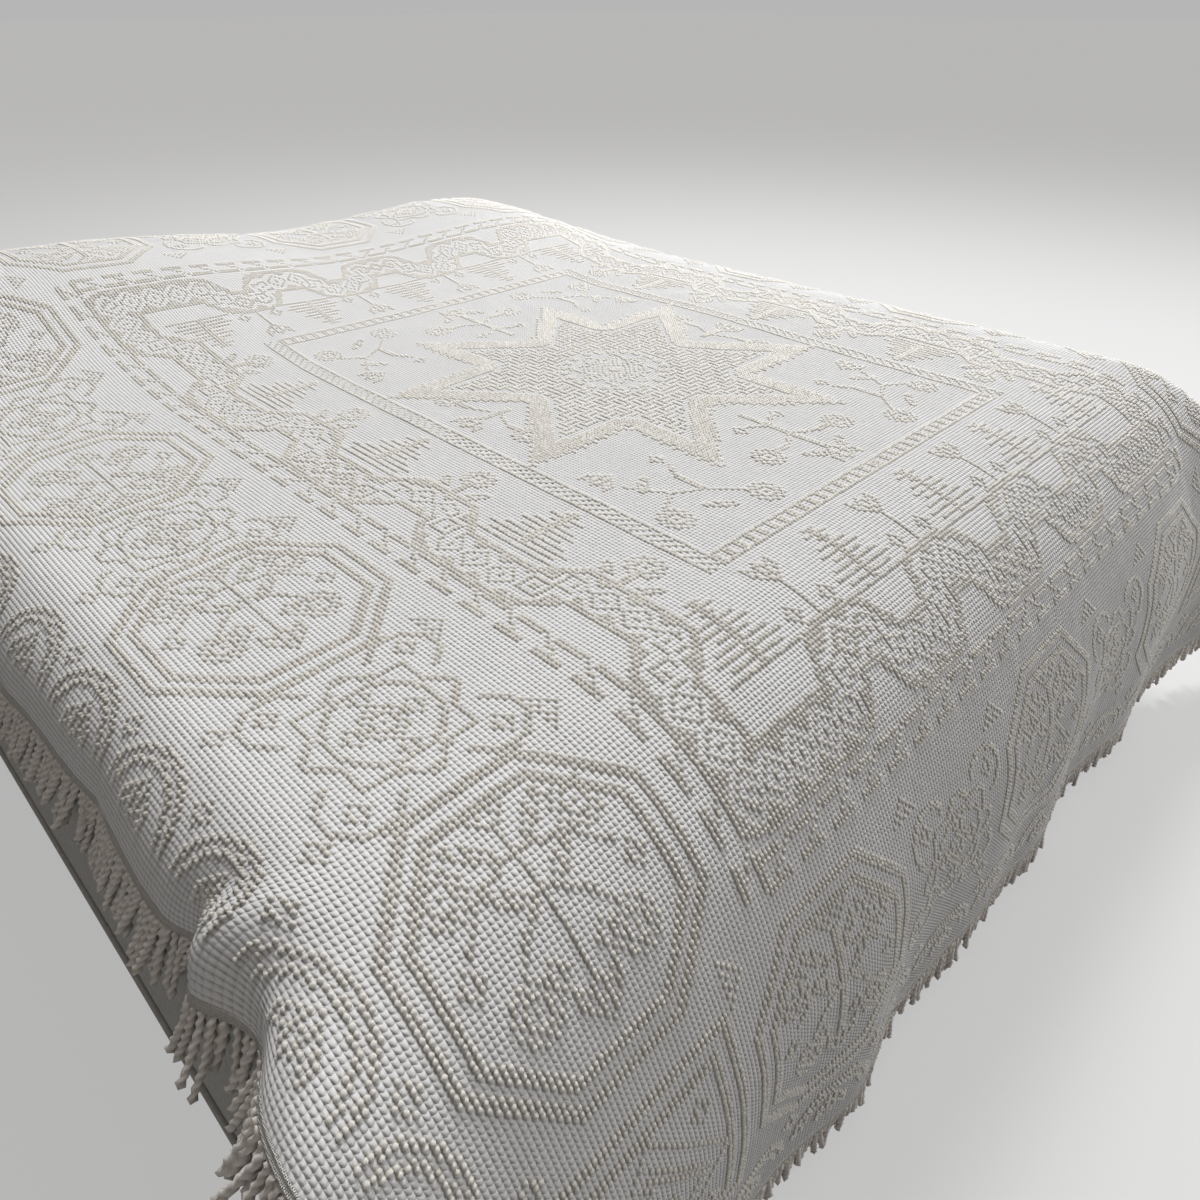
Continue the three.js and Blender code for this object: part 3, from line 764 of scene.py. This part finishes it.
for middle in (0, 54):
    tree(R, C, middle, 73, 93, 11)
for middle in (0, 41, 82):
    tree(C, R, middle, 92, 112, 10)
for middle in (27, 79):
    tuft_path([(81, middle), (91, middle)])
    tuft_motif(ROSETTE, 78, middle)
    tuft_motif(LEAF, 86, middle + 5)
    tuft_motif(tuple(reversed(LEAF)), 86, middle - 5)
for middle in (20.5, 61.5):
    tuft_path([(middle, 99), (middle, 110)])
    tuft_motif(tuple(reversed(BELL)), middle, 96)
    tuft_motif(BUD, middle - 6, 106)
    tuft_motif(BUD, middle + 6, 106)

# The meander: a ribbon that steps in and out round the trees and flowers, edged with double lines
# and filled with a string of lozenges.
SIDE_STEPS = [(102, 0), (102, 12), (93.5, 20), (93.5, 34), (102, 42), (102, 66), (93.5, 74), (93.5, 86)]
CORNER_STEPS = [(93.5, 96), (103, 104), (103, 126)]
END_STEPS = [(72, 126), (66, 116), (55, 116), (49, 126), (33, 126), (27, 116), (14, 116), (8, 126),
             (0, 126)]
LOZENGE = 8.0
away, along = beside_path(SIDE_STEPS + CORNER_STEPS + END_STEPS)
tufted[away < 6.6] = False
tufted |= (away > 4.6) & (away < 6.6)
lozenge = np.abs(along % LOZENGE - LOZENGE / 2) + away
tufted |= (away < 4.6) & (((lozenge > 2.9) & (lozenge < 4.1)) | (lozenge < 1.1) | (lozenge > 6.4))

# A chain of hooked links outside the meander.
for step in range(14):
    tuft_motif(LINK, 111.5, 5 + 10 * step)
for step in range(11):
    tuft_motif(LINK, 5 + 10 * step, 137, turned=True)


# Eight-sided panels edged with double lines, each with a bush of flowers and leaves growing
# outwards, and a ringed rosette between each two panels.
def panel(c, r, half_c, half_r, cut):
    across, along = np.abs(C - c), np.abs(R - r)
    slant = (across + along - half_c - half_r + cut) * 0.72
    out = np.maximum(np.maximum(across - half_c, along - half_r), slant)
    tufted[out <= 0] = False
    tufted[(out <= 0) & (out > -2.0)] = True
    tufted[(out <= -3.9) & (out > -5.9)] = True
    tuft_path([(c, r - 15), (c, r + 8)], 1.5)
    tuft_motif(tuple(reversed(BELL)), c, r + 12)
    tuft_motif(tuple(reversed(WEDGE)), c, r - 16)
    for side in (-1, 1):
        leaf = LEAF if side > 0 else mirrored(LEAF)
        tuft_path([(c, r - 5), (c + side * 6, r - 1), (c + side * 9, r + 3)])
        tuft_motif(ROSETTE, c + side * 10, r + 7)
        tuft_path([(c, r - 11), (c + side * 8, r - 9), (c + side * 14, r - 4)])
        tuft_motif(BUD, c + side * 15.5, r - 0.5)
        tuft_motif(leaf, c + side * 5, r - 5.5)
        tuft_motif(ROSETTE, c + side * 13, r - 11.5)
        tuft_motif(leaf, c + side * 6, r - 14)
        tuft_motif(BUD, c + side * 5, r + 5)


def ringed_rosette(c, r):
    across, along = (C - c) * RIB / CELL, (R - r) * ROW / CELL
    away = np.hypot(across, along)
    petal = 1.3 * np.cos(8 * np.arctan2(along, across))
    tufted[(away > 9.0) & (away < 10.3)] = True
    tufted[np.abs(away - 13.0 - petal) < 0.75] = True
    for side_c in (-1, 1):
        for side_r in (-1, 1):
            lobe = np.hypot(across - side_c * 12, along - side_r * 12)
            tufted[(lobe > 5.6) & (lobe < 6.9) & (away > 15.5)] = True
            tuft_motif(BUD, c + side_c * 14, r + side_r * 13)
    tuft_motif(ROSETTE, c, r)
    for quarter in range(4):
        angle = quarter * math.pi / 2
        tuft_motif(BUD, c + 6.5 * math.cos(angle), r + 6.5 * math.sin(angle))


def corner_block(c, r):
    """Nested squares round a lozenge, with a flower in each corner."""
    across, along = np.abs(C - c), np.abs(R - r)
    square = np.maximum(across, along)
    slant = across + along
    tufted[square < 22] = False
    tufted[(square > 20) & (square < 22)] = True
    tufted[(square > 16) & (square < 18)] = True
    tufted[(square < 16) & (slant > 15) & (slant < 17)] = True
    tufted[(slant > 8) & (slant < 13) & checks] = True
    tuft_motif(ROSETTE, c, r)
    for side_c in (-1, 1):
        for side_r in (-1, 1):
            tuft_motif(BUD, c + side_c * 12, r + side_r * 12)


for r in (38, 121):
    panel(144.5, r, 25, 24, 14)
for c in (0, 97):
    panel(c, 171, 25, 25, 14)
for r in (0, 79.5):
    ringed_rosette(144.5, r)
ringed_rosette(48.5, 171)
corner_block(148, 172)
for r in (12, 64, 95, 147):
    tuft_motif(WEDGE, 122, r, turned=True)
    tuft_motif(BUD, 167, r)
for c in (29, 68):
    tuft_motif(WEDGE, c, 148)
    tuft_motif(BUD, c, 193)


# Outside them, along the hem: a row of scallops, each of two lines over a flower, with a bud
# between each two, and two lines that follow the cut corner round.
def scallop(c, r, hemward):
    away = np.hypot((C - c) * RIB / CELL, (R - r) * ROW / CELL)
    for ring in (11.3, 8.9):
        tufted[(hemward < -0.5) & (np.abs(away - ring) < 0.7)] = True


for step in range(7):
    scallop(184.5, 13 + 25 * step, C - 184.5)
    tuft_motif(BELL, 181, 13 + 25 * step, turned=True)
    tuft_motif(BUD, 174, 25.5 + 25 * step)
for step in range(6):
    scallop(13.5 + 27 * step, 211, R - 211)
    tuft_motif(BELL, 13.5 + 27 * step, 207.5)
    tuft_motif(BUD, 27 + 27 * step, 201)
past_x = np.maximum(C * RIB - WIDE / 2 + CORNER, 0)
past_y = np.maximum(R * ROW - LONG / 2 + CORNER, 0)
round_corner = np.hypot(past_x, past_y)
cut_corner = np.minimum(past_x, past_y) > 45
tufted |= cut_corner & (np.abs(np.abs(round_corner - CORNER + 56) - 11) < 5)
tufted[round_corner > CORNER - 14] = False

NUB_LONG, NUB_WIDE, NUB_HIGH, NUB_SUNK = 6.2, 5.4, 2.4, 0.8
NUB_LIFT = 0.9
# How uneven the nubs are: turn and lean in radians, size as a share, and place in millimetres.
NUB_TURN, NUB_LEAN, NUB_SIZE, NUB_OFF_X, NUB_OFF_Y = 0.16, 0.12, 0.07, 0.3, 0.4
# The dark nub colour is painted shade at each nub's foot; the light one is the yarn's own colour.
NUB_FOOT_SHADE = (0.56, 0.52, 0.45, 1)
NUB_LIGHT = (0.82, 0.805, 0.77, 1)


def nub_bmesh():
    """One nub, standing on its open underside, its ridge along +Y."""
    bm = bmesh.new()
    bmesh.ops.create_circle(bm, segments=6, radius=0.5)
    for vert in bm.verts:
        vert.co = (vert.co.y * NUB_WIDE * 1.1, vert.co.x * NUB_LONG, -NUB_SUNK)
    bm.verts.new((0, -0.2 * NUB_LONG, NUB_HIGH))
    bm.verts.new((0, 0.2 * NUB_LONG, NUB_HIGH))
    bmesh.ops.convex_hull(bm, input=bm.verts)
    under = [face for face in bm.faces if face.normal.z < -0.9]
    bmesh.ops.delete(bm, geom=under, context="FACES_ONLY")
    return bm


def repeated_piece(name, single, places, attributes, material):
    """Many copies of one small mesh, joined: places holds each copy's vertices, copy by copy. The
    single mesh's faces may come in any order, so they are sorted to be the same in every run."""
    single.verts.index_update()
    faces = sorted([vert.index for vert in face.verts] for face in single.faces)
    count, size = places.shape[:2]
    sizes = np.array([len(face) for face in faces])
    loops = np.concatenate([np.array(face) for face in faces])
    starts = np.concatenate([[0], np.cumsum(sizes)[:-1]])
    copies = np.arange(count)[:, None]
    mesh = bpy.data.meshes.new(name)
    mesh.vertices.add(count * size)
    mesh.vertices.foreach_set("co", places.astype(np.float32).ravel())
    mesh.loops.add(count * len(loops))
    mesh.loops.foreach_set("vertex_index", (copies * size + loops).astype(np.int32).ravel())
    mesh.polygons.add(count * len(faces))
    mesh.polygons.foreach_set("loop_start", (copies * len(loops) + starts).astype(np.int32).ravel())
    mesh.polygons.foreach_set("use_smooth", np.ones(count * len(faces), bool))
    for key, values in attributes.items():
        layer = mesh.attributes.new(key, "FLOAT", "POINT")
        layer.data.foreach_set("value", values.astype(np.float32).ravel())
    mesh.update(calc_edges=True)
    mesh.validate()
    mesh.materials.append(material)
    piece = bpy.data.objects.new(name, mesh)
    bpy.context.scene.collection.objects.link(piece)
    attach(piece, "root")
    return piece


def tuft_yarn():
    material, tree, shader = plain_material("candlewick_tuft")
    rise = add_node(tree, "ShaderNodeAttribute", attribute_name="rise")
    place = tree.nodes.new("ShaderNodeTexCoord")
    fibres = add_node(tree, "ShaderNodeTexNoise", Scale=900.0, Detail=3.0, Roughness=0.7)
    tree.links.new(place.outputs["Object"], fibres.inputs["Vector"])
    # Painted shade: the colour darkens from partway up each nub down to its foot.
    colour = ramp(tree, rise.outputs["Fac"], 0.15, NUB_FOOT_SHADE, 0.45, NUB_LIGHT)
    tree.links.new(colour, shader.inputs["Base Color"])
    shader.inputs["Roughness"].default_value = 0.88
    shader.inputs["Sheen Weight"].default_value = 0.12
    bump(tree, shader, fibres.outputs["Fac"], 0.0005)
    return material


def tuft_places(x, y, chance):
    """The vertices of a nub at each place: a little turned, leaned and sized at random."""
    single = nub_bmesh()
    nub = np.array([vert.co for vert in single.verts])
    place, across, along, outward = lie(x, y, NUB_LIFT)
    turn = chance.normal(0, NUB_TURN, len(x))[:, None]
    size = chance.normal(1, NUB_SIZE, (len(x), 3))
    lean = chance.normal(0, NUB_LEAN, len(x))[:, None]
    sideways = across * np.cos(turn) + along * np.sin(turn)
    lengthways = along * np.cos(turn) - across * np.sin(turn)
    upward = outward + sideways * lean
    local = nub[None] * size[:, None, :] * MM
    vertices = place[:, None, :] + local[..., :1] * sideways[:, None]
    vertices = vertices + local[..., 1:2] * lengthways[:, None]
    vertices = vertices + local[..., 2:] * upward[:, None]
    rise = np.tile((nub[:, 2] + NUB_SUNK) / (NUB_HIGH + NUB_SUNK), len(x))
    return single, vertices, rise


half = np.concatenate([tufted[:, ::-1], tufted], axis=1)
whole = np.concatenate([half[::-1], half])
tuft_rows, tuft_columns = np.nonzero(whole)
chance = np.random.default_rng(7)
tuft_x = NEAR + (tuft_columns + 0.5) * RIB + chance.normal(0, NUB_OFF_X, len(tuft_columns))
tuft_y = FOOT + (tuft_rows + 0.5) * ROW + chance.normal(0, NUB_OFF_Y, len(tuft_rows))
yarn = tuft_yarn()
# The tufts are three pieces, from y to y along the flat sheet, to keep each of a fair size.
TUFT_STRETCHES = ((-2000, -560), (-560, 180), (180, 2000))
for part, (first, last) in enumerate(TUFT_STRETCHES, start=1):
    here = (tuft_y >= first) & (tuft_y < last)
    single, vertices, rise = tuft_places(tuft_x[here], tuft_y[here], chance)
    piece = repeated_piece(f"bedspread_tufts_{part}", single, vertices, {"rise": rise}, yarn)
    single.free()

# ---- Fringe ----------------------------------------------------------------------------------
# A bullion fringe sewn under the hem down both sides and round the foot: short cords, each of two
# plies twisted hard together, with rounded ends.

CORD_THICK, CORD_LONG, CORD_APART = 7.6, 57.0, 7.4
CORD_SIDES, CORD_RINGS = 4, 16
SLOPE_NEAR, SLOPE_FOOT, SLOPE_FAR = 52, 88, 86
PLY_LEAD = 5 * CORD_LONG / CORD_RINGS
SEWN_IN, SEWN_UNDER = 2, -1.5
# How uneven the cords are: leaning sideways and outwards, long, twisted and thick, as shares.
LEAN_SIDEWAYS, LEAN_OUT = 0.20, 0.10
CORD_LENGTHS, CORD_TWISTS, CORD_THICKNESSES = 0.08, 0.12, 0.08
PLY_SHARE, SLUB_SHARE = 0.26, 0.07
# The dark cord colour is painted shade in the grooves between the plies; the light one is the yarn's
# own colour.
CORD_GROOVE_SHADE = (0.58, 0.53, 0.485, 1)
CORD_LIGHT = (0.84, 0.80, 0.755, 1)


def cord_bmesh():
    """One straight cord along +Z, a ball drawn out: x and y are its section, z runs from 0 to 1."""
    bm = bmesh.new()
    bmesh.ops.create_uvsphere(bm, u_segments=CORD_SIDES, v_segments=CORD_RINGS, radius=1)
    for vert in bm.verts:
        ring = math.acos(max(-1.0, min(1.0, vert.co.z))) / math.pi
        around = math.atan2(vert.co.y, vert.co.x)
        end = min(ring, 1 - ring) * CORD_RINGS
        radius = 0.0 if end < 0.5 else 0.5
        vert.co = (radius * math.cos(around), radius * math.sin(around), ring)
    return bm


def twisted_yarn():
    material, tree, shader = plain_material("bullion_yarn")
    ply = add_node(tree, "ShaderNodeAttribute", attribute_name="ply")
    place = tree.nodes.new("ShaderNodeTexCoord")
    fibres = add_node(tree, "ShaderNodeTexNoise", Scale=700.0, Detail=3.0, Roughness=0.7)
    tree.links.new(place.outputs["Object"], fibres.inputs["Vector"])
    # Painted shade: the colour darkens from the plies' ridges into the grooves between them.
    colour = ramp(tree, ply.outputs["Fac"], 0.0, CORD_GROOVE_SHADE, 0.8, CORD_LIGHT)
    tree.links.new(colour, shader.inputs["Base Color"])
    shader.inputs["Roughness"].default_value = 0.9
    shader.inputs["Sheen Weight"].default_value = 0.12
    bump(tree, shader, fibres.outputs["Fac"], 0.0006)
    return material


def fringe_places(run, chance):
    """The vertices of a cord at each run along the edge, which leaves the hem in the cloth's own
    direction and bends over into its hang."""
    single = cord_bmesh()
    cord = np.array([vert.co for vert in single.verts])
    count = len(run)
    x, y, out_x, out_y = edge_point(run)
    place, across, along, outward = lie(x - SEWN_IN * out_x, y - SEWN_IN * out_y, SEWN_UNDER)
    out = across * out_x[:, None] + along * out_y[:, None]
    out /= np.linalg.norm(out, axis=1, keepdims=True)
    side_slope = np.where(out_x < 0, SLOPE_NEAR, SLOPE_FAR)
    slope = np.radians(side_slope + (SLOPE_FOOT - side_slope) * out_y**2)
    hang = np.stack([out_x * np.cos(slope), out_y * np.cos(slope), -np.sin(slope)], axis=1)
    sideways = np.cross(out, outward)
    tip = hang + sideways * chance.normal(0, LEAN_SIDEWAYS, count)[:, None]
    tip += outward * chance.normal(0.0, LEAN_OUT, count)[:, None]
    tip /= np.linalg.norm(tip, axis=1, keepdims=True)
    start = out + tip
    start /= np.linalg.norm(start, axis=1, keepdims=True)
    length = CORD_LONG * chance.normal(1, CORD_LENGTHS, count)
    share = cord[None, :, 2]
    reach = length[:, None] * share
    path = start[:, None] * reach[..., None] + (tip - start)[:, None] * (reach * share)[..., None] / 2
    heading = start[:, None] + (tip - start)[:, None] * share[..., None]
    heading /= np.linalg.norm(heading, axis=2, keepdims=True)
    first = np.cross(heading, outward[:, None])
    first /= np.linalg.norm(first, axis=2, keepdims=True)
    second = np.cross(heading, first)
    around = np.arctan2(cord[:, 1], cord[:, 0])
    ply = np.where(np.abs(np.sin(around - around[1])) < 0.5, 1, -1)
    twist = math.tau / PLY_LEAD * chance.normal(1, CORD_TWISTS, count)[:, None]
    turned = around + chance.uniform(0, math.tau, count)[:, None] + twist * reach
    thick = np.hypot(cord[:, 0], cord[:, 1]) * CORD_THICK * (1 + PLY_SHARE * ply)
    slub = 1 + SLUB_SHARE * np.sin(reach / 5 + chance.uniform(0, math.tau, count)[:, None])
    thick = thick * chance.normal(1, CORD_THICKNESSES, count)[:, None] * slub
    section = first * (thick * np.cos(turned))[..., None] + second * (thick * np.sin(turned))[..., None]
    vertices = place[:, None] + (path + section) * MM
    # The ply value is 1 on the plies' ridges and 0 in the grooves, where the colour takes painted
    # shade.
    return single, vertices, np.tile(0.5 + 0.5 * ply, count)


bullion = twisted_yarn()
cord_runs = np.arange(CORD_APART / 2, FRINGED_RUN, CORD_APART)
near_end, foot_end = SIDE_RUN, FRINGED_RUN - SIDE_RUN
stretches = (("near", 0, near_end), ("foot", near_end, foot_end), ("far", foot_end, FRINGED_RUN))
for name, first, last in stretches:
    runs = cord_runs[(cord_runs >= first) & (cord_runs < last)]
    single, vertices, ply = fringe_places(runs, chance)
    piece = repeated_piece(f"fringe_{name}", single, vertices, {"ply": ply}, bullion)
    single.free()
    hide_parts("fringe")

# ---- Floor, light and camera -----------------------------------------------------------------
# A plain pale floor that runs into a pale sky, a soft lamp high over the far side, two weak ones
# for the hanging foot and the near side, and a camera over the near foot corner.

FLOOR_REACH = 60
FLOOR_GREY = (0.34, 0.34, 0.34, 1)
FLOOR_GLOW, SKY_GLOW = 0.42, 0.47
ROOM_LIGHT, ROOM_STRENGTH = (1.0, 0.93, 0.86, 1), 0.18
CAMERA_X, CAMERA_Y, CAMERA_HIGH = -0.916, -1.220, 1.225
CAMERA_TILT, CAMERA_HEADING, CAMERA_LENS = 54.8, -45, 25.8

floor_mesh = bmesh.new()
bmesh.ops.create_grid(floor_mesh, x_segments=1, y_segments=1, size=FLOOR_REACH)
floor_data = bpy.data.meshes.new("floor")
floor_mesh.to_mesh(floor_data)
floor_mesh.free()
floor = bpy.data.objects.new("floor", floor_data)
bpy.context.scene.collection.objects.link(floor)
floor_material, floor_tree, floor_shader = plain_material("floor_paint")
floor_shader.inputs["Base Color"].default_value = FLOOR_GREY
floor_shader.inputs["Roughness"].default_value = 1.0
floor_shader.inputs["Specular IOR Level"].default_value = 0.0
floor_shader.inputs["Emission Color"].default_value = (1, 1, 1, 1)
floor_seen = floor_tree.nodes.new("ShaderNodeLightPath")
floor_glow = math_node(floor_tree, "MULTIPLY", floor_seen.outputs["Is Camera Ray"], FLOOR_GLOW)
floor_tree.links.new(floor_glow, floor_shader.inputs["Emission Strength"])
floor_data.materials.append(floor_material)

world = bpy.data.worlds.new("studio")
world.use_nodes = True
bpy.context.scene.world = world
sky = world.node_tree
background = sky.nodes["Background"]
background.inputs["Color"].default_value = ROOM_LIGHT
background.inputs["Strength"].default_value = ROOM_STRENGTH
white = add_node(sky, "ShaderNodeBackground", Color=(1, 1, 1, 1), Strength=SKY_GLOW)
seen = sky.nodes.new("ShaderNodeLightPath")
shown = math_node(sky, "MAXIMUM", seen.outputs["Is Camera Ray"], seen.outputs["Is Glossy Ray"])
shown = math_node(sky, "MAXIMUM", shown, seen.outputs["Is Transmission Ray"])
mix = sky.nodes.new("ShaderNodeMixShader")
sky.links.new(shown, mix.inputs["Fac"])
sky.links.new(background.outputs["Background"], mix.inputs[1])
sky.links.new(white.outputs["Background"], mix.inputs[2])
sky.links.new(mix.outputs["Shader"], sky.nodes["World Output"].inputs["Surface"])


def soft_lamp(name, offset, size, energy):
    """A square lamp some way from the middle of the bed, turned towards it."""
    data = bpy.data.lights.new(name, "AREA")
    data.size = size
    data.energy = energy
    lamp = bpy.data.objects.new(name, data)
    lamp.location = bed_middle + Vector(offset)
    lamp.rotation_euler = (-Vector(offset)).to_track_quat("-Z", "Y").to_euler()
    bpy.context.scene.collection.objects.link(lamp)


soft_lamp("key", (2.4, 1.5, 4.6), 1.8, 290)
soft_lamp("foot_fill", (4.2, -3.4, 2.8), 1.4, 130)
soft_lamp("near_fill", (-4.6, -2.0, 1.2), 2.0, 10)

camera_data = bpy.data.cameras.new("camera")
camera_data.lens = CAMERA_LENS
camera_data.sensor_width = 36
camera = bpy.data.objects.new("camera", camera_data)
camera.location = (bed_middle.x + CAMERA_X, bed_middle.y + CAMERA_Y, CAMERA_HIGH)
camera.rotation_euler = (math.radians(CAMERA_TILT), 0, math.radians(CAMERA_HEADING))
bpy.context.scene.collection.objects.link(camera)
bpy.context.scene.camera = camera
bpy.context.scene.view_settings.view_transform = "Standard"
